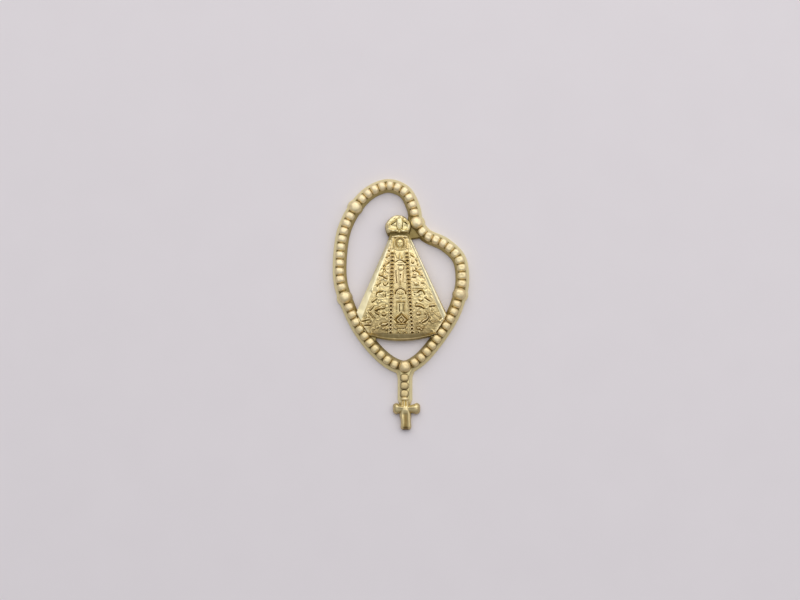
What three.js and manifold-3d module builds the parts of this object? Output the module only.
// A rosary heart pendant: a crowned, mantled Madonna inside a heart of beads, with a cross below it.
// One casting in real life; here every built-up form is a solid that sits flat on the form below it.
// Millimetres. It lies on its back: +X to the right, +Y up its height, +Z out of its front.
import * as THREE from 'three';
import { mergeVertices } from 'three/addons/utils/BufferGeometryUtils.js';
import Module from 'manifold-3d';

const wasm = await Module();
wasm.setup();

// Rosary band: a closed ring of rounded section, and the casting's flat base. Its inner and outer
// widths go from the middle line of the beads to the foot.
const baseThickness = 1.3;
const bandInnerWidth = 1.35;
const bandOuterWidth = 1.4;
const bandTopWidth = 1.9;
const bandWallHeight = 0.75;
const bandSteps = 120;

// Middle line of the heart, clockwise. Each run starts at a large bead and leads to the next one.
const heartRuns = [
  [[0.75, -12.45], [-1.7, -11.75], [-4.8, -9.25], [-8.45, -4.5]],
  [[-11.2, 1.5], [-12.15, 4.9], [-12.2, 10.15], [-11.35, 15.35]],
  [[-9.15, 19.7], [-6.3, 22.7], [-2.6, 24.1], [0.65, 22.85], [2.4, 19.65]],
  [[3.1, 16.5], [4.85, 14.15], [8.7, 12.2], [11.5, 9.35], [12.2, 5.3]],
  [[11.7, 2.1], [10.1, -2.25], [6.35, -7.95], [3.2, -11.25]],
];
const runNames = ['lower_left', 'left', 'top', 'upper_right', 'lower_right'];

// Beads
const beadsPerDecade = 10;
const smallBeadWidth = 1.85;
const smallBeadHeight = 0.85;
const smallBeadLap = 0.12;
const largeBeadDiameter = 2.5;
const largeBeadHeight = 1.15;
const beadGap = 0.06;

// Seats of the large beads, set outwards from the middle line
const seatRadius = 1.6;
const seatOffset = 0.1;
const seatEdge = 0.35;
const seatSides = 24;

// Low webs that tie the figure to the band: one at the notch, two under the skirt's corners
const figureToBeadGap = 0.3;
const webThickness = 0.9;
const notchWebFoot = [[1.5, 13.15], [4.6, 13.6]];
const leftGusset = [[-7.8, -5.4], [-6.5, -8.0], [-5.1, -7.35], [-4.85, -6.3]];
const rightGusset = [[5.7, -6.1], [6.0, -6.75], [6.9, -7.6], [8.4, -5.2]];

// Stem with its three beads
const stemAxisX = 0.75;
const stemWidth = 2.9;
const stemFlare = 1.0;
const stemEdge = 0.35;
const dropBeadCount = 3;
const dropBeadGap = 0.24;
const dropBeadPitch = 1.6;
const dropBeadLength = 1.52;
const dropBeadWidth = 1.75;

// Cross
const crossThickness = 1.75;
const crossEdge = 0.5;
const crossHeight = 6.1;
const crossArmDrop = 1.95;
const crossArmSpan = 5.4;
const crossArmShift = 0.3;
const crossArmDepth = 2.5;
const crossArmWaist = 1.85;
const crossPostWidth = 2.75;
const crossPostWaist = 2.4;
const crossFootWidth = 2.5;
const crossLean = 0.25;
const crossTip = 0.35;
const crossReliefHeight = 0.4;
const crossReliefWidth = 0.95;
const crossReliefMargin = 0.7;
const crossCollarWidth = 1.7;

// Mantle: its straight side edges run from the neck down to the band
const mantleNeckY = 12.5;
const mantleSkirtY = -3.1;
const mantleNeckLeft = -2.8;
const mantleNeckRight = 2.4;
const mantleSkirtLeft = -9.55;
const mantleSkirtRight = 9.65;
const neckTopY = 14.3;
const neckTopLeft = -2.2;
const neckTopRight = 1.5;
const skirtLowestY = -7.2;
const skirtRise = 1.35;
const skirtHalfWidth = 7.4;
const skirtFootSlope = 0.75;
const mantleRim = 0.15;
const mantleEdge = 0.2;
const mantleThickness = 0.8;
const groove = 0.13;

// Hems, embroidered fields, lace borders and front panel, as heights above the mantle
const hemLeftWidth = 1.45;
const hemRightWidth = 1.0;
const hemNeckWidth = 0.25;
const hemInnerHeight = 0.5;
const hemOuterHeight = 0.15;
const frontHemWidth = 0.3;
const frontHemHeight = 0.25;
const fieldHeight = 0.78;
const fieldFall = 0.05;

// Main stitches of the embroidery, each a raised rib with pointed ends from one place to another
const stitchWidth = 0.5;
const stitchHeight = 0.2;
const stitchTaper = 0.2;
const leftStitches = [
  [[-3.3, 7.1], [-2.8, 8.1]],
  [[-4.3, 5.9], [-3.3, 6.6]],
  [[-3.7, 5.4], [-2.75, 5.1]],
  [[-4.8, 3.9], [-3.9, 4.4]],
  [[-3.4, 3.9], [-2.7, 4.3]],
  [[-4.9, 2.2], [-4.1, 2.8]],
  [[-3.8, 2.75], [-2.7, 2.5]],
  [[-6.0, 0.5], [-5.0, 1.25]],
  [[-4.6, 0.95], [-3.6, 0.95]],
  [[-6.6, -1.3], [-5.7, -0.4]],
  [[-5.2, -1.1], [-4.3, -0.8]],
  [[-4.0, -0.6], [-3.0, -0.4]],
  [[-3.9, -2.0], [-2.9, -1.95]],
  [[-6.3, -2.0], [-5.3, -2.9]],
  [[-7.3, -3.2], [-6.2, -2.95]],
  [[-7.0, -4.2], [-5.9, -4.1]],
  [[-4.0, -4.1], [-3.0, -3.9]],
  [[-4.6, -4.95], [-3.6, -5.0]],
];
const rightStitches = [
  [[2.2, 8.4], [2.9, 8.1]],
  [[3.1, 6.95], [3.9, 6.3]],
  [[2.3, 6.1], [3.0, 6.0]],
  [[2.4, 4.3], [3.4, 4.25]],
  [[3.9, 4.3], [4.6, 4.3]],
  [[2.6, 2.7], [4.2, 2.9]],
  [[4.7, 2.6], [5.0, 1.8]],
  [[3.2, 1.1], [4.4, 1.1]],
  [[5.1, 1.25], [6.0, 0.6]],
  [[2.9, -0.15], [4.0, -0.25]],
  [[4.3, -0.5], [5.0, -0.95]],
  [[5.7, -0.3], [6.7, -0.25]],
  [[3.1, -1.95], [4.0, -1.95]],
  [[4.6, -2.1], [5.3, -1.6]],
  [[5.9, -1.85], [6.7, -1.8]],
  [[5.7, -2.4], [5.75, -3.2]],
  [[3.2, -3.8], [4.2, -3.8]],
  [[4.6, -3.7], [5.2, -3.2]],
  [[6.1, -3.8], [7.2, -3.5]],
  [[3.1, -4.9], [4.6, -4.85]],
];
const laceLeftTop = -1.74;
const laceLeftBottom = -2.08;
const laceRightTop = 1.26;
const laceRightBottom = 2.24;
const laceWidth = 1.0;
const laceHeight = 0.7;
const laceBarHeight = 0.18;
const laceBarLength = 0.4;
const laceBarCount = 19;
const panelHeight = 0.55;

// Ornament on the front panel, as heights above the panel
const ornamentHeight = 0.3;
const figureAxisX = -0.1;
const knotY = 7.2;
const knotSize = 1.0;
const sashLength = 3.2;
const sashWidthTop = 0.75;
const sashWidthTip = 0.35;
const nicheY = 1.6;
const nicheRadius = 1.05;
const nicheBand = 0.35;
const nicheLegLength = 0.9;
const medallionRadius = 0.42;
const pleatCount = 3;
const pleatTopY = 0.1;
const pleatLength = 1.5;
const pleatWidth = 0.3;
const pleatPitch = 0.6;
const rhombusY = -3.2;
const rhombusHalfDiagonal = 0.85;
const rhombusBand = 0.26;
const rhombusBeadRadius = 0.26;
const crescentY = -4.2;
const crescentHalfWidth = 1.35;
const crescentDepth = 0.62;
const crescentHollow = 0.15;
const sideCordLength = 0.85;
const sideCordWidth = 0.26;

// Head, veil, collar, sleeves and hands
const headY = 12.15;
const headX = -0.2;
const headWidth = 1.65;
const headLength = 2.2;
const headHeight = 0.85;
const noseLength = 0.5;
const noseWidth = 0.24;
const noseHeight = 0.16;
const veilWidth = 2.8;
const veilLength = 2.7;
const veilHeight = 0.62;
const veilGap = 0.12;
const collarDepth = 0.4;
const collarHalfAngle = 50;
const collarHeight = 0.5;
const handsLength = 1.25;
const handsWidth = 0.7;
const handsHeight = 0.8;
const sleeveLength = 1.35;
const sleeveWidth = 0.62;
const sleeveHeight = 0.6;
const sleeveAngle = 28;

// Crown: a bulging cap, a jewelled band round its foot, three arches and a knob
const crownAxisX = -0.6;
const crownPlateY = 13.9;
const crownFootY = 14.35;
const crownFootHalfWidth = 2.1;
const crownBulgeY = 15.6;
const crownBulgeHalfWidth = 2.5;
const crownTopY = 18.1;
const crownCapHeight = 1.0;
const crownCapEdge = 0.25;
const crownBandHeight = 0.55;
const crownBandDepth = 0.85;
const crownBandRise = 0.1;
const crownMargin = 0.15;
const crownJewelCount = 5;
const crownJewelRadius = 0.32;
const archWidth = 0.55;
const archHeight = 0.45;
const archSteps = 10;
const knobRadius = 0.4;
const knobHeight = 0.6;

// Curve and facet counts
const smallBeadSides = 12;
const smallBeadRings = 3;
const largeBeadSides = 16;
const largeBeadRings = 4;
const curveDivisions = 12;
const edgeSegments = 2;
const skirtSteps = 12;

// Longer than the pendant, for solids that only cut
const reach = 200;

// Heights of the flat planes that the solids stand on
const mantleTop = baseThickness + mantleThickness;
const panelTop = mantleTop + panelHeight;
const crownCapTop = baseThickness + crownCapHeight;

// Places down the stem and the cross
const dropTopY = heartRuns[0][0][1] - largeBeadDiameter / 2 - dropBeadGap;
const dropRowLength = (dropBeadCount - 1) * dropBeadPitch + dropBeadLength;
const stemBottomY = dropTopY - dropRowLength - dropBeadGap;
const crossArmY = stemBottomY - crossArmDrop;

// Places up the figure, from the face down to the skirt's hem
const handsTopY = headY - veilLength / 2 - groove - collarDepth - groove;
const frontTopY = handsTopY - handsLength - groove;
const skirtLift = skirtFootSlope + mantleEdge;
const fieldLift = skirtLift + frontHemWidth + groove;
const frontFootY = skirtY(laceRightBottom + laceWidth, fieldLift);
const crownBandY = crownFootY + crownMargin + crownCapEdge + crownBandRise;
const knobY = crownTopY - crownMargin - crownCapEdge - knobRadius;

// Colour and roughness of the gilding
const bandGilt = { color: 0xb89a5c, roughness: 0.45 };
const beadGilt = { color: 0xe6d5a0, roughness: 0.26 };
const figureGilt = { color: 0xd9c48c, roughness: 0.35 };
const crownGilt = { color: 0xdfcb92, roughness: 0.3 };
const pendant = new THREE.Group();

// Puts one sub-part into the pendant under its name
function addPart(name, geometry, gilt) {
  const mesh = new THREE.Mesh(geometry, new THREE.MeshStandardMaterial({ ...gilt, metalness: 1 }));
  mesh.name = name;
  pendant.add(mesh);
}

// Closed triangle mesh to solid, and back
function toSolid(geometry) {
  const bare = geometry.clone();
  bare.deleteAttribute('normal');
  bare.deleteAttribute('uv');
  const merged = mergeVertices(bare);
  return new wasm.Manifold(new wasm.Mesh({
    numProp: 3,
    vertProperties: merged.attributes.position.array,
    triVerts: new Uint32Array(merged.index.array),
  }));
}

function toGeometry(solid) {
  const { vertProperties, triVerts } = solid.getMesh();
  const geometry = new THREE.BufferGeometry();
  geometry.setAttribute('position', new THREE.BufferAttribute(vertProperties, 3));
  geometry.setIndex(new THREE.BufferAttribute(triVerts, 1));
  geometry.computeVertexNormals();
  return geometry;
}

const join = (geometries) => geometries.map(toSolid).reduce((whole, piece) => whole.add(piece));

// A shape with straight sides through the points
const polygon = (points) => new THREE.Shape(points.map(([x, y]) => new THREE.Vector2(x, y)));

// A straight-walled block standing on the plane z = base
function block(shape, base, height) {
  const options = { depth: height, bevelEnabled: false, curveSegments: curveDivisions };
  return new THREE.ExtrudeGeometry(shape, options).translate(0, 0, base);
}

// A block whose top slopes: heightAt gives its height above the base at each corner
function slopingBlock(shape, base, heightAt) {
  const geometry = block(shape, 0, 1);
  const corners = geometry.attributes.position;
  for (let i = 0; i < corners.count; i += 1) {
    const height = corners.getZ(i) > 0 ? heightAt(corners.getX(i), corners.getY(i)) : 0;
    corners.setZ(i, base + height);
  }
  return geometry;
}

// Skin through rings of matching points, each listed counter-clockwise, lowest ring first
function loft(rings) {
  const count = rings[0].length;
  const corners = rings.flat(2);
  const faces = [];
  for (let level = 0; level + 1 < rings.length; level += 1) {
    for (let i = 0; i < count; i += 1) {
      const here = level * count + i;
      const beyond = level * count + ((i + 1) % count);
      faces.push(here, beyond, beyond + count, here, beyond + count, here + count);
    }
  }
  const flat = (ring) => ring.map(([x, y]) => new THREE.Vector2(x, y));
  const lid = (ring) => THREE.ShapeUtils.triangulateShape(flat(ring), []);
  const lastRing = (rings.length - 1) * count;
  lid(rings[0]).forEach(([a, b, c]) => faces.push(a, c, b));
  lid(rings[rings.length - 1]).forEach(([a, b, c]) => faces.push(lastRing + a, lastRing + b, lastRing + c));
  const geometry = new THREE.BufferGeometry();
  geometry.setAttribute('position', new THREE.Float32BufferAttribute(corners, 3));
  geometry.setIndex(faces);
  return geometry;
}

// A block with a rounded front edge. outlineAt gives its outline drawn in by an inset, as points.
function roundedBlock(outlineAt, base, height, edge) {
  const levels = [[0, 0]];
  for (let i = 0; i <= edgeSegments; i += 1) {
    const turn = (i / edgeSegments) * (Math.PI / 2);
    levels.push([height - edge * (1 - Math.sin(turn)), edge * (1 - Math.cos(turn))]);
  }
  const rings = levels.map(([z, inset]) => outlineAt(inset).map(([x, y]) => [x, y, base + z]));
  return toSolid(loft(rings));
}

// Points of a closed shape, the last one not repeating the first
function shapePoints(shape) {
  const points = shape.getPoints(curveDivisions).map((point) => [point.x, point.y]);
  return points.slice(0, -1);
}

// A half bead of the given size on the plane z = base, its length turned by angle from the Y axis
function dome(x, y, base, width, length, height, angle, sides, rings) {
  const profile = [new THREE.Vector2(0, 0)];
  for (let i = 0; i < rings; i += 1) {
    const rise = (i / rings) * (Math.PI / 2);
    profile.push(new THREE.Vector2(Math.cos(rise), Math.sin(rise)));
  }
  profile.push(new THREE.Vector2(0, 1));
  return new THREE.LatheGeometry(profile, sides)
    .rotateX(Math.PI / 2)
    .scale(width / 2, length / 2, height)
    .rotateZ(angle)
    .translate(x, y, base);
}

const roundDome = (x, y, base, diameter, height, sides, rings) =>
  dome(x, y, base, diameter, diameter, height, 0, sides, rings);

// Everything on one side of the line y = height: side is 1 above it and -1 below it
function halfSpace(height, side) {
  return toSolid(new THREE.BoxGeometry(reach, reach, reach).translate(0, height + (side * reach) / 2, 0));
}

// Sweeps a section, listed counter-clockwise as [across, height], round the closed heart
function sweepHeart(section, steps) {
  const corners = [];
  const faces = [];
  const count = section.length;
  for (let i = 0; i < steps; i += 1) {
    const middle = heart.getPointAt(i / steps);
    const ahead = heart.getTangentAt(i / steps);
    section.forEach(([across, height], j) => {
      corners.push(middle.x - ahead.y * across, middle.y + ahead.x * across, height);
      const here = i * count + j;
      const beside = i * count + ((j + 1) % count);
      const next = ((i + 1) % steps) * count + j;
      const nextBeside = ((i + 1) % steps) * count + ((j + 1) % count);
      faces.push(here, beside, nextBeside, here, nextBeside, next);
    });
  }
  const geometry = new THREE.BufferGeometry();
  geometry.setAttribute('position', new THREE.Float32BufferAttribute(corners, 3));
  geometry.setIndex(faces);
  return geometry;
}

const knots = heartRuns.flat().map(([x, y]) => new THREE.Vector3(x, y, 0));
const heart = new THREE.CatmullRomCurve3(knots, true, 'centripetal');

// Distance along the heart to the first knot of a run; past the last run it is the whole length
function distanceToRun(index) {
  const divisions = 4000;
  const knotsBefore = heartRuns.slice(0, index).flat().length;
  return heart.getLengths(divisions)[Math.round((knotsBefore / knots.length) * divisions)];
}

// Straight edges of the figure: x at a height y, on the line through two points
const slantedLine = (lowX, lowY, highX, highY) => (y) =>
  lowX + ((highX - lowX) * (y - lowY)) / (highY - lowY);
const beside = (line, distance) => (y) => line(y) + distance;
const mantleLeft = slantedLine(mantleSkirtLeft, mantleSkirtY, mantleNeckLeft, mantleNeckY);
const mantleRight = slantedLine(mantleSkirtRight, mantleSkirtY, mantleNeckRight, mantleNeckY);
const laceLeft = slantedLine(laceLeftBottom, frontFootY, laceLeftTop, frontTopY);
const laceRight = slantedLine(laceRightBottom, frontFootY, laceRightTop, frontTopY);

// Height at which two straight edges cross
function crossing(one, other) {
  const gapAtZero = other(0) - one(0);
  const closing = (one(1) - one(0)) - (other(1) - other(0));
  return gapAtZero / closing;
}

// The skirt's curved lower edge, raised by lift
function skirtY(x, lift) {
  const share = x / skirtHalfWidth;
  return skirtLowestY + lift + skirtRise * share * share;
}

function skirtLine(fromX, toX, lift) {
  const points = [];
  for (let i = 0; i <= skirtSteps; i += 1) {
    const x = fromX + ((toX - fromX) * i) / skirtSteps;
    points.push([x, skirtY(x, lift)]);
  }
  return points;
}

// Clears the lane in which the bead rows stand, so that the figure never reaches them
function clearOfBeads(solid) {
  const half = smallBeadWidth / 2 + figureToBeadGap;
  const lane = sweepHeart([[-half, -reach], [half, -reach], [half, reach], [-half, reach]], bandSteps);
  return solid.subtract(toSolid(lane));
}

// The openwork base: ring with bead seats, figure's footprint, webs and stem
function bandSection() {
  const rim = bandTopWidth / 2;
  const shoulderHeight = (baseThickness + bandWallHeight) / 2;
  const flank = (side, foot) => [
    [side * foot, 0],
    [side * foot, bandWallHeight],
    [(side * (foot * 2 + rim)) / 3, shoulderHeight],
    [side * rim, baseThickness],
  ];
  return [...flank(1, bandOuterWidth), ...flank(-1, bandInnerWidth).reverse()];
}

// Flared seat of the casting under the large bead of a run, set a little outwards
function beadSeat(index) {
  const share = distanceToRun(index) / distanceToRun(heartRuns.length);
  const middle = heart.getPointAt(share);
  const ahead = heart.getTangentAt(share);
  const x = middle.x - ahead.y * seatOffset;
  const y = middle.y + ahead.x * seatOffset;
  const outlineAt = (inset) => {
    const points = [];
    for (let i = 0; i < seatSides; i += 1) {
      const angle = (i / seatSides) * 2 * Math.PI;
      const radius = seatRadius - inset;
      points.push([x + radius * Math.cos(angle), y + radius * Math.sin(angle)]);
    }
    return points;
  };
  return roundedBlock(outlineAt, 0, baseThickness, seatEdge);
}

function mantleFootprint(inset) {
  const left = beside(mantleLeft, inset);
  const right = beside(mantleRight, -inset);
  return [
    [left(mantleSkirtY), mantleSkirtY],
    ...skirtLine(-skirtHalfWidth, skirtHalfWidth + stemAxisX, inset),
    [right(mantleSkirtY), mantleSkirtY],
    [right(mantleNeckY), mantleNeckY],
    [neckTopRight - inset, neckTopY],
    [neckTopLeft + inset, neckTopY],
    [left(mantleNeckY), mantleNeckY],
  ];
}

function crownOutline(lowestY, inset) {
  const footY = lowestY + inset;
  const foot = crownFootHalfWidth - inset;
  const bulge = crownBulgeHalfWidth - inset;
  const flareY = (footY + crownBulgeY) / 2;
  const shoulderY = (crownBulgeY + crownTopY) / 2;
  const top = crownTopY - inset;
  const x = crownAxisX;
  const outline = new THREE.Shape();
  outline.moveTo(x - foot, footY);
  outline.lineTo(x + foot, footY);
  outline.quadraticCurveTo(x + bulge, flareY, x + bulge, crownBulgeY);
  outline.bezierCurveTo(x + bulge, shoulderY, x + bulge / 2, top, x, top);
  outline.bezierCurveTo(x - bulge / 2, top, x - bulge, shoulderY, x - bulge, crownBulgeY);
  outline.quadraticCurveTo(x - bulge, flareY, x - foot, footY);
  return shapePoints(outline);
}

// Low web between the crown and the notch of the heart
function notchWeb() {
  const [notchX, notchY] = heartRuns[3][0];
  const crownSide = crownAxisX + crownFootHalfWidth;
  return polygon([
    ...notchWebFoot,
    [notchX, notchY],
    [notchX - bandInnerWidth, crownTopY],
    [crownSide - crownMargin, crownTopY - crownMargin],
    [neckTopRight - crownMargin, crownPlateY],
  ]);
}

function stemOutline(inset) {
  const half = stemWidth / 2 - inset;
  const top = heartRuns[0][0][1];
  const flareY = top - bandOuterWidth - stemFlare;
  const past = stemBottomY - stemWidth / 2;
  return [
    [stemAxisX - half, past],
    [stemAxisX + half, past],
    [stemAxisX + half, flareY],
    [stemAxisX + half + stemFlare, top],
    [stemAxisX - half - stemFlare, top],
    [stemAxisX - half, flareY],
  ];
}

function openworkBase() {
  const crownPlate = (inset) => crownOutline(crownPlateY, inset);
  const stem = roundedBlock(stemOutline, 0, baseThickness, stemEdge).subtract(halfSpace(stemBottomY, -1));
  const pieces = [
    roundedBlock(mantleFootprint, 0, baseThickness, mantleEdge),
    roundedBlock(crownPlate, 0, baseThickness, mantleEdge),
    ...[notchWeb(), polygon(leftGusset), polygon(rightGusset)]
      .map((outline) => toSolid(block(outline, 0, webThickness))),
    stem,
  ];
  for (let index = 1; index < heartRuns.length; index += 1) {
    pieces.push(beadSeat(index));
  }
  return pieces.reduce((whole, piece) => whole.add(piece), toSolid(sweepHeart(bandSection(), bandSteps)));
}

// Rows of small beads between the large ones, each row one string of touching beads
function decade(index) {
  const margin = largeBeadDiameter / 2 + beadGap;
  const start = distanceToRun(index) + margin;
  const end = distanceToRun(index + 1) - margin;
  const pitch = (end - start) / beadsPerDecade;
  const whole = distanceToRun(heartRuns.length);
  const beads = [];
  for (let i = 0; i < beadsPerDecade; i += 1) {
    const share = (start + (i + 0.5) * pitch) / whole;
    const place = heart.getPointAt(share);
    const ahead = heart.getTangentAt(share);
    const angle = Math.atan2(ahead.y, ahead.x) - Math.PI / 2;
    const inner = i > 0 && i < beadsPerDecade - 1;
    const length = inner ? pitch + smallBeadLap : pitch;
    beads.push(dome(place.x, place.y, baseThickness, smallBeadWidth, length,
      smallBeadHeight, angle, smallBeadSides, smallBeadRings));
  }
  return join(beads);
}

function largeBead(x, y) {
  return roundDome(x, y, baseThickness, largeBeadDiameter, largeBeadHeight, largeBeadSides, largeBeadRings);
}

function dropBead(index) {
  const y = dropTopY - dropBeadLength / 2 - index * dropBeadPitch;
  return dome(stemAxisX, y, baseThickness, dropBeadWidth, dropBeadLength,
    smallBeadHeight, 0, largeBeadSides, largeBeadRings);
}

// Cross: flared arms on a post that leans a little to the right at its foot
function crossOutline(inset) {
  const top = stemBottomY + crossEdge;
  const bottom = stemBottomY - crossHeight + inset;
  const arm = crossArmSpan / 2 - inset;
  const flare = crossArmDepth / 2 - inset;
  const waist = crossArmWaist / 2 - inset;
  const post = crossPostWidth / 2 - inset;
  const neck = crossPostWaist / 2 - inset;
  const foot = crossFootWidth / 2 - inset;
  const x = stemAxisX;
  const y = crossArmY;
  const footX = stemAxisX + crossLean;
  const armX = stemAxisX + crossArmShift;
  const outline = new THREE.Shape();
  outline.moveTo(x + post, top);
  outline.lineTo(x + neck, y + waist);
  outline.quadraticCurveTo(armX + arm - crossTip, y + waist, armX + arm - crossTip, y + flare);
  outline.quadraticCurveTo(armX + arm + crossTip, y, armX + arm - crossTip, y - flare);
  outline.quadraticCurveTo(armX + arm - crossTip, y - waist, x + neck, y - waist);
  outline.lineTo(footX + foot, bottom + crossTip);
  outline.quadraticCurveTo(footX, bottom - crossTip, footX - foot, bottom + crossTip);
  outline.lineTo(x - neck, y - waist);
  outline.quadraticCurveTo(armX - arm + crossTip, y - waist, armX - arm + crossTip, y - flare);
  outline.quadraticCurveTo(armX - arm - crossTip, y, armX - arm + crossTip, y + flare);
  outline.quadraticCurveTo(armX - arm + crossTip, y + waist, x - neck, y + waist);
  outline.lineTo(x - post, top);
  outline.lineTo(x + post, top);
  return shapePoints(outline).reverse();
}

function cross() {
  return roundedBlock(crossOutline, 0, crossThickness, crossEdge).subtract(halfSpace(stemBottomY, 1));
}

// Half bead where the post leaves the stem
function crossCollar() {
  const length = crossReliefMargin - groove;
  return dome(stemAxisX, stemBottomY - length / 2, crossThickness, crossCollarWidth, length,
    crossReliefHeight, 0, smallBeadSides, smallBeadRings);
}

// Raised upright and bar along the middle of the cross
function crossRelief() {
  const top = stemBottomY - crossReliefMargin;
  const bottom = stemBottomY - crossHeight + crossReliefMargin;
  const arm = crossArmSpan / 2 - crossReliefMargin;
  const half = (inset) => crossReliefWidth / 2 - inset;
  const post = (inset) => [
    [stemAxisX - half(inset) + crossLean, bottom + inset],
    [stemAxisX + half(inset) + crossLean, bottom + inset],
    [stemAxisX + half(inset), top - inset],
    [stemAxisX - half(inset), top - inset],
  ];
  const barX = stemAxisX + crossArmShift;
  const bar = (inset) => [
    [barX - arm + inset, crossArmY - half(inset)],
    [barX + arm - inset, crossArmY - half(inset)],
    [barX + arm - inset, crossArmY + half(inset)],
    [barX - arm + inset, crossArmY + half(inset)],
  ];
  const round = crossReliefHeight / 2;
  return roundedBlock(post, crossThickness, crossReliefHeight, round)
    .add(roundedBlock(bar, crossThickness, crossReliefHeight, round));
}

// Mantle slab with a narrower head part that carries the veil
function mantleOutline(inset) {
  const left = beside(mantleLeft, mantleRim + inset);
  const right = beside(mantleRight, -mantleRim - inset);
  const headHalf = veilWidth / 2 + mantleEdge - inset;
  const headTop = crownPlateY - groove - inset;
  return [
    [left(mantleSkirtY), mantleSkirtY],
    ...skirtLine(-skirtHalfWidth, skirtHalfWidth, skirtFootSlope + inset),
    [right(mantleSkirtY), mantleSkirtY],
    [right(mantleNeckY), mantleNeckY],
    [headX + headHalf, headTop],
    [headX - headHalf, headTop],
    [left(mantleNeckY), mantleNeckY],
  ];
}

function mantleSlab() {
  return clearOfBeads(roundedBlock(mantleOutline, baseThickness, mantleThickness, mantleEdge));
}

const slabMargin = mantleRim + mantleEdge;

// Inner edge of a side hem, which narrows towards the neck; side is 1 on the left, -1 on the right
function hemInner(mantleEdgeLine, side, width) {
  const low = mantleEdgeLine(mantleSkirtY) + side * (slabMargin + width);
  const high = mantleEdgeLine(mantleNeckY) + side * (slabMargin + hemNeckWidth);
  return slantedLine(low, mantleSkirtY, high, mantleNeckY);
}

// A side hem rises from its outer edge to its inner edge
function sideHem(mantleEdgeLine, side, width) {
  const outer = beside(mantleEdgeLine, side * slabMargin);
  const inner = hemInner(mantleEdgeLine, side, width);
  const low = mantleSkirtY;
  const high = mantleNeckY - groove;
  const outline = polygon([[outer(low), low], [inner(low), low], [inner(high), high], [outer(high), high]]);
  const height = (x, y) => {
    const middle = (outer(y) + inner(y)) / 2;
    return side * (x - middle) > 0 ? hemInnerHeight : hemOuterHeight;
  };
  return clearOfBeads(toSolid(slopingBlock(outline, mantleTop, height)));
}

function frontHem() {
  const low = skirtLine(-skirtHalfWidth, skirtHalfWidth, skirtLift);
  const high = skirtLine(skirtHalfWidth, -skirtHalfWidth, skirtLift + frontHemWidth);
  return clearOfBeads(toSolid(block(polygon([...low, ...high]), mantleTop, frontHemHeight)));
}

// A rib with pointed ends from one place to another, as high above the mantle as heightAt says
function stitch([startX, startY], [endX, endY], heightAt) {
  const length = Math.hypot(endX - startX, endY - startY);
  const acrossX = ((startY - endY) / length) * (stitchWidth / 2);
  const acrossY = ((endX - startX) / length) * (stitchWidth / 2);
  const corner = (share, side) => [
    startX + share * (endX - startX) + side * acrossX,
    startY + share * (endY - startY) + side * acrossY,
  ];
  const outline = polygon([
    corner(0, 0), corner(stitchTaper, -1), corner(1 - stitchTaper, -1),
    corner(1, 0), corner(1 - stitchTaper, 1), corner(stitchTaper, 1),
  ]);
  return slopingBlock(outline, mantleTop, heightAt);
}

// Embroidered field between a side hem and a lace border, highest beside the lace
function embroideredField(mantleEdgeLine, side, hemWidth, laceAxis, stitches) {
  const outer = beside(hemInner(mantleEdgeLine, side, hemWidth), side * groove);
  const inner = beside(laceAxis, -side * (laceWidth / 2 + groove));
  const apexY = crossing(outer, inner);
  const foot = skirtLine(outer(mantleSkirtY), inner(frontFootY), fieldLift);
  const outline = polygon([[outer(apexY), apexY], [outer(mantleSkirtY), mantleSkirtY], ...foot]);
  const height = (x) => fieldHeight - fieldFall * Math.abs(x - figureAxisX);
  const ground = toSolid(slopingBlock(outline, mantleTop, height));
  const raised = (x) => height(x) + stitchHeight;
  const ribs = join(stitches.map(([start, end]) => stitch(start, end, raised)));
  const bounds = toSolid(block(outline, mantleTop, fieldHeight + stitchHeight));
  return clearOfBeads(ground.add(ribs.intersect(bounds)));
}

// Lace ribbon with a ladder of raised bars
function laceBorder(axis) {
  const half = laceWidth / 2;
  const corners = [
    [axis(frontFootY) - half, frontFootY],
    [axis(frontFootY) + half, frontFootY],
    [axis(frontTopY) + half, frontTopY],
    [axis(frontTopY) - half, frontTopY],
  ];
  const pitch = (frontTopY - frontFootY) / laceBarCount;
  const pieces = [block(polygon(corners), mantleTop, laceHeight)];
  for (let i = 0; i < laceBarCount; i += 1) {
    const y = frontFootY + (i + 0.5) * pitch;
    const bar = new THREE.BoxGeometry(laceWidth - groove, laceBarLength, laceHeight + laceBarHeight);
    bar.translate(axis(y), y, mantleTop + (laceHeight + laceBarHeight) / 2);
    pieces.push(bar);
  }
  return join(pieces);
}

function frontPanel() {
  const margin = laceWidth / 2 + groove;
  const left = beside(laceLeft, margin);
  const right = beside(laceRight, -margin);
  const foot = skirtLine(left(frontFootY), right(frontFootY), fieldLift);
  const rim = [[right(frontTopY), frontTopY], [left(frontTopY), frontTopY]];
  return block(polygon([...foot, ...rim]), mantleTop, panelHeight);
}

// Knot and tapering sash below the hands
function sash() {
  const knot = new THREE.BoxGeometry(knotSize, knotSize, ornamentHeight)
    .translate(figureAxisX, knotY, panelTop + ornamentHeight / 2);
  const top = knotY - knotSize / 2 + groove;
  const tail = polygon([
    [figureAxisX - sashWidthTip / 2, top - sashLength],
    [figureAxisX + sashWidthTip / 2, top - sashLength],
    [figureAxisX + sashWidthTop / 2, top],
    [figureAxisX - sashWidthTop / 2, top],
  ]);
  return join([knot, block(tail, panelTop, ornamentHeight)]);
}

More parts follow.
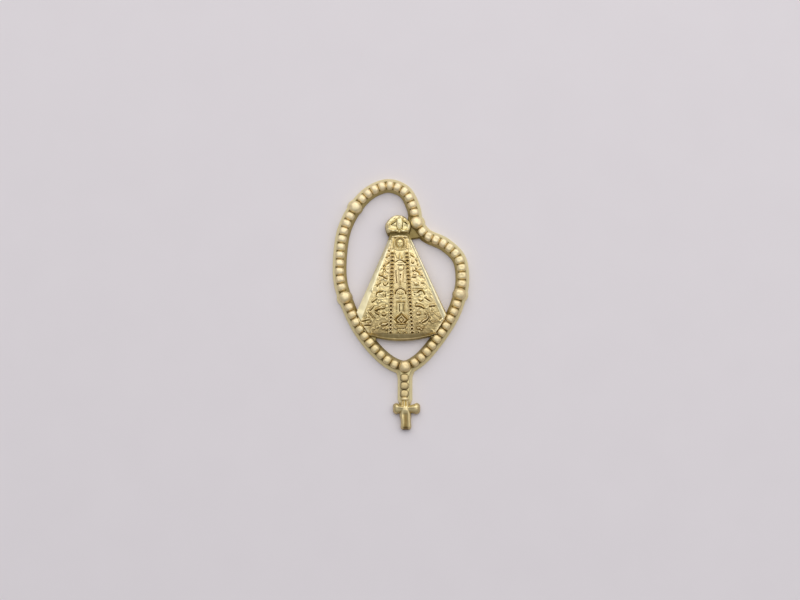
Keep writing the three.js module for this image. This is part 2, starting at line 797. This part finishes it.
// Arched niche round a small medallion, closed by a sill
function niche() {
  const inner = nicheRadius - nicheBand;
  const sill = nicheY - nicheLegLength;
  const outline = new THREE.Shape();
  outline.moveTo(figureAxisX - nicheRadius, sill);
  outline.lineTo(figureAxisX + nicheRadius, sill);
  outline.lineTo(figureAxisX + nicheRadius, nicheY);
  outline.absarc(figureAxisX, nicheY, nicheRadius, 0, Math.PI, false);
  const opening = new THREE.Path();
  opening.moveTo(figureAxisX - inner, sill + nicheBand);
  opening.lineTo(figureAxisX - inner, nicheY);
  opening.absarc(figureAxisX, nicheY, inner, Math.PI, 0, true);
  opening.lineTo(figureAxisX + inner, sill + nicheBand);
  outline.holes.push(opening);
  return block(outline, panelTop, ornamentHeight);
}

// Small dome in the middle of the niche's opening
function medallion() {
  const low = nicheY - nicheLegLength + nicheBand;
  const high = nicheY + nicheRadius - nicheBand;
  return roundDome(figureAxisX, (low + high) / 2, panelTop, 2 * medallionRadius,
    ornamentHeight, smallBeadSides, smallBeadRings);
}

function pleat(index) {
  const x = figureAxisX + (index - (pleatCount - 1) / 2) * pleatPitch;
  return new THREE.BoxGeometry(pleatWidth, pleatLength, ornamentHeight)
    .translate(x, pleatTopY - pleatLength / 2, panelTop + ornamentHeight / 2);
}

function rhombus(half) {
  return [
    [figureAxisX, rhombusY - half],
    [figureAxisX + half, rhombusY],
    [figureAxisX, rhombusY + half],
    [figureAxisX - half, rhombusY],
  ];
}

function rhombusFrame() {
  const outline = polygon(rhombus(rhombusHalfDiagonal));
  const inner = rhombus(rhombusHalfDiagonal - rhombusBand * Math.SQRT2).reverse();
  outline.holes.push(new THREE.Path(inner.map(([x, y]) => new THREE.Vector2(x, y))));
  return block(outline, panelTop, ornamentHeight);
}

function rhombusBead() {
  return roundDome(figureAxisX, rhombusY, panelTop, 2 * rhombusBeadRadius,
    ornamentHeight, smallBeadSides, smallBeadRings);
}

// Crescent with its horns up, under the rhombus
function crescent() {
  const outline = new THREE.Shape();
  const x = figureAxisX;
  outline.moveTo(x - crescentHalfWidth, crescentY);
  outline.quadraticCurveTo(x, crescentY - 2 * crescentDepth, x + crescentHalfWidth, crescentY);
  outline.quadraticCurveTo(x, crescentY - 2 * crescentHollow, x - crescentHalfWidth, crescentY);
  return block(outline, panelTop, ornamentHeight);
}

// Cord along an upper side of the rhombus
function sideCord(side) {
  const slant = Math.PI / 4;
  const offset = rhombusHalfDiagonal * Math.cos(slant) + groove + sideCordWidth / 2;
  return new THREE.BoxGeometry(sideCordWidth, sideCordLength, ornamentHeight)
    .rotateZ(side * slant)
    .translate(
      figureAxisX + side * offset * Math.cos(slant),
      rhombusY + offset * Math.sin(slant),
      panelTop + ornamentHeight / 2,
    );
}

// Veil as a hood round the face, and the head inside it
function veil() {
  const outline = new THREE.Shape();
  const opening = new THREE.Path();
  const turn = 2 * Math.PI;
  outline.absellipse(headX, headY, veilWidth / 2, veilLength / 2, 0, turn, false, 0);
  opening.absellipse(headX, headY, headWidth / 2 + veilGap, headLength / 2 + veilGap, 0, turn, true, 0);
  outline.holes.push(opening);
  return block(outline, mantleTop, veilHeight);
}

function head() {
  const face = dome(headX, headY, mantleTop, headWidth, headLength, headHeight, 0,
    largeBeadSides, largeBeadRings);
  const nose = dome(headX, headY, mantleTop, noseWidth, noseLength, headHeight + noseHeight, 0,
    smallBeadSides, smallBeadRings);
  return join([face, nose]);
}

// Collar: part of a ring that follows the veil's lower edge
function collar() {
  const outline = new THREE.Shape();
  const inner = groove;
  const outer = groove + collarDepth;
  const middle = (3 * Math.PI) / 2;
  const half = THREE.MathUtils.degToRad(collarHalfAngle);
  const [across, along] = [veilWidth / 2, veilLength / 2];
  outline.absellipse(headX, headY, across + outer, along + outer, middle - half, middle + half, false, 0);
  outline.absellipse(headX, headY, across + inner, along + inner, middle + half, middle - half, true, 0);
  return block(outline, mantleTop, collarHeight);
}

// A sleeve on each side of the joined hands
function sleeve(side) {
  const angle = THREE.MathUtils.degToRad(side * sleeveAngle);
  const reachAcross = Math.hypot((sleeveWidth / 2) * Math.cos(angle), (sleeveLength / 2) * Math.sin(angle));
  const x = headX + side * (handsWidth / 2 + groove + reachAcross);
  const y = handsTopY - handsLength / 2;
  return dome(x, y, mantleTop, sleeveWidth, sleeveLength,
    sleeveHeight, angle, smallBeadSides, smallBeadRings);
}

// Joined hands, pointing up
function hands() {
  const half = handsWidth / 2;
  const foot = handsTopY - handsLength;
  const outline = new THREE.Shape();
  outline.moveTo(headX - half, foot);
  outline.lineTo(headX + half, foot);
  outline.quadraticCurveTo(headX + half, handsTopY - handsLength / 2, headX, handsTopY);
  outline.quadraticCurveTo(headX - half, handsTopY - handsLength / 2, headX - half, foot);
  return block(outline, mantleTop, handsHeight);
}

// Crown
function crownCap() {
  const outlineAt = (inset) => crownOutline(crownFootY, crownMargin + inset);
  return roundedBlock(outlineAt, baseThickness, crownCapHeight, crownCapEdge);
}

// Jewelled band, bowed down at its middle
function crownBand() {
  const half = crownFootHalfWidth - crownMargin - crownCapEdge;
  const low = crownBandY;
  const high = low + crownBandDepth;
  const outline = new THREE.Shape();
  outline.moveTo(crownAxisX - half, low);
  outline.quadraticCurveTo(crownAxisX, low - crownBandRise, crownAxisX + half, low);
  outline.lineTo(crownAxisX + half, high);
  outline.quadraticCurveTo(crownAxisX, high - crownBandRise, crownAxisX - half, high);
  const pieces = [block(outline, crownCapTop, crownBandHeight)];
  const pitch = (2 * half - 2 * crownJewelRadius) / (crownJewelCount - 1);
  for (let i = 0; i < crownJewelCount; i += 1) {
    const x = crownAxisX - half + crownJewelRadius + i * pitch;
    pieces.push(roundDome(x, (low + high) / 2, crownCapTop, 2 * crownJewelRadius,
      crownBandHeight + crownJewelRadius, smallBeadSides, smallBeadRings));
  }
  return join(pieces);
}

// One arch from the band to the knob; lean is how far aside it starts
function crownArch(lean) {
  const low = crownBandY + crownBandDepth + groove;
  const left = [];
  const right = [];
  for (let i = 0; i <= archSteps; i += 1) {
    const angle = (i / archSteps) * (Math.PI / 2);
    const x = crownAxisX + lean * Math.cos(angle);
    const y = low + (knobY - low) * Math.sin(angle);
    left.push([x - archWidth / 2, y]);
    right.push([x + archWidth / 2, y]);
  }
  return block(polygon([...right, ...left.reverse()]), crownCapTop, archHeight);
}

function crownArches() {
  const lean = crownBulgeHalfWidth - crownMargin - crownCapEdge - archWidth / 2;
  const knob = roundDome(crownAxisX, knobY, crownCapTop, 2 * knobRadius, knobHeight,
    smallBeadSides, smallBeadRings);
  return join([crownArch(-lean), crownArch(0), crownArch(lean), knob]);
}

addPart('base', toGeometry(openworkBase()), bandGilt);
runNames.forEach((name, index) => {
  const [x, y] = heartRuns[index][0];
  addPart(`large_bead_${index === 0 ? 'centre' : name}`, largeBead(x, y), beadGilt);
  addPart(`decade_${name}`, toGeometry(decade(index)), beadGilt);
});
for (let i = 0; i < dropBeadCount; i += 1) {
  addPart(`drop_bead_${i + 1}`, dropBead(i), beadGilt);
}
addPart('cross', toGeometry(cross()), figureGilt);
addPart('cross_relief', toGeometry(crossRelief()), figureGilt);
addPart('cross_collar', crossCollar(), beadGilt);

addPart('mantle', toGeometry(mantleSlab()), figureGilt);
addPart('hem_left', toGeometry(sideHem(mantleLeft, 1, hemLeftWidth)), beadGilt);
addPart('hem_right', toGeometry(sideHem(mantleRight, -1, hemRightWidth)), beadGilt);
addPart('hem_front', toGeometry(frontHem()), figureGilt);
const fieldLeft = embroideredField(mantleLeft, 1, hemLeftWidth, laceLeft, leftStitches);
const fieldRight = embroideredField(mantleRight, -1, hemRightWidth, laceRight, rightStitches);
addPart('field_left', toGeometry(fieldLeft), figureGilt);
addPart('field_right', toGeometry(fieldRight), figureGilt);
addPart('lace_left', toGeometry(laceBorder(laceLeft)), figureGilt);
addPart('lace_right', toGeometry(laceBorder(laceRight)), figureGilt);

addPart('front_panel', frontPanel(), figureGilt);
addPart('sash', toGeometry(sash()), figureGilt);
addPart('niche', niche(), figureGilt);
addPart('medallion', medallion(), figureGilt);
for (let i = 0; i < pleatCount; i += 1) {
  addPart(`pleat_${i + 1}`, pleat(i), figureGilt);
}
addPart('rhombus_frame', rhombusFrame(), figureGilt);
addPart('rhombus_bead', rhombusBead(), beadGilt);
addPart('crescent', crescent(), figureGilt);
addPart('side_cord_left', sideCord(-1), figureGilt);
addPart('side_cord_right', sideCord(1), figureGilt);

addPart('veil', veil(), figureGilt);
addPart('head', toGeometry(head()), figureGilt);
addPart('collar', collar(), figureGilt);
addPart('hands', hands(), figureGilt);
addPart('sleeve_left', sleeve(-1), figureGilt);
addPart('sleeve_right', sleeve(1), figureGilt);

addPart('crown_cap', toGeometry(crownCap()), crownGilt);
addPart('crown_band', toGeometry(crownBand()), crownGilt);
addPart('crown_arches', toGeometry(crownArches()), crownGilt);

// The origin is the middle of the back: the centre of the pendant's box, at its lowest plane
const box = new THREE.Box3().setFromObject(pendant);
const middle = box.getCenter(new THREE.Vector3());
pendant.position.set(-middle.x, -middle.y, -box.min.z);

export default pendant;
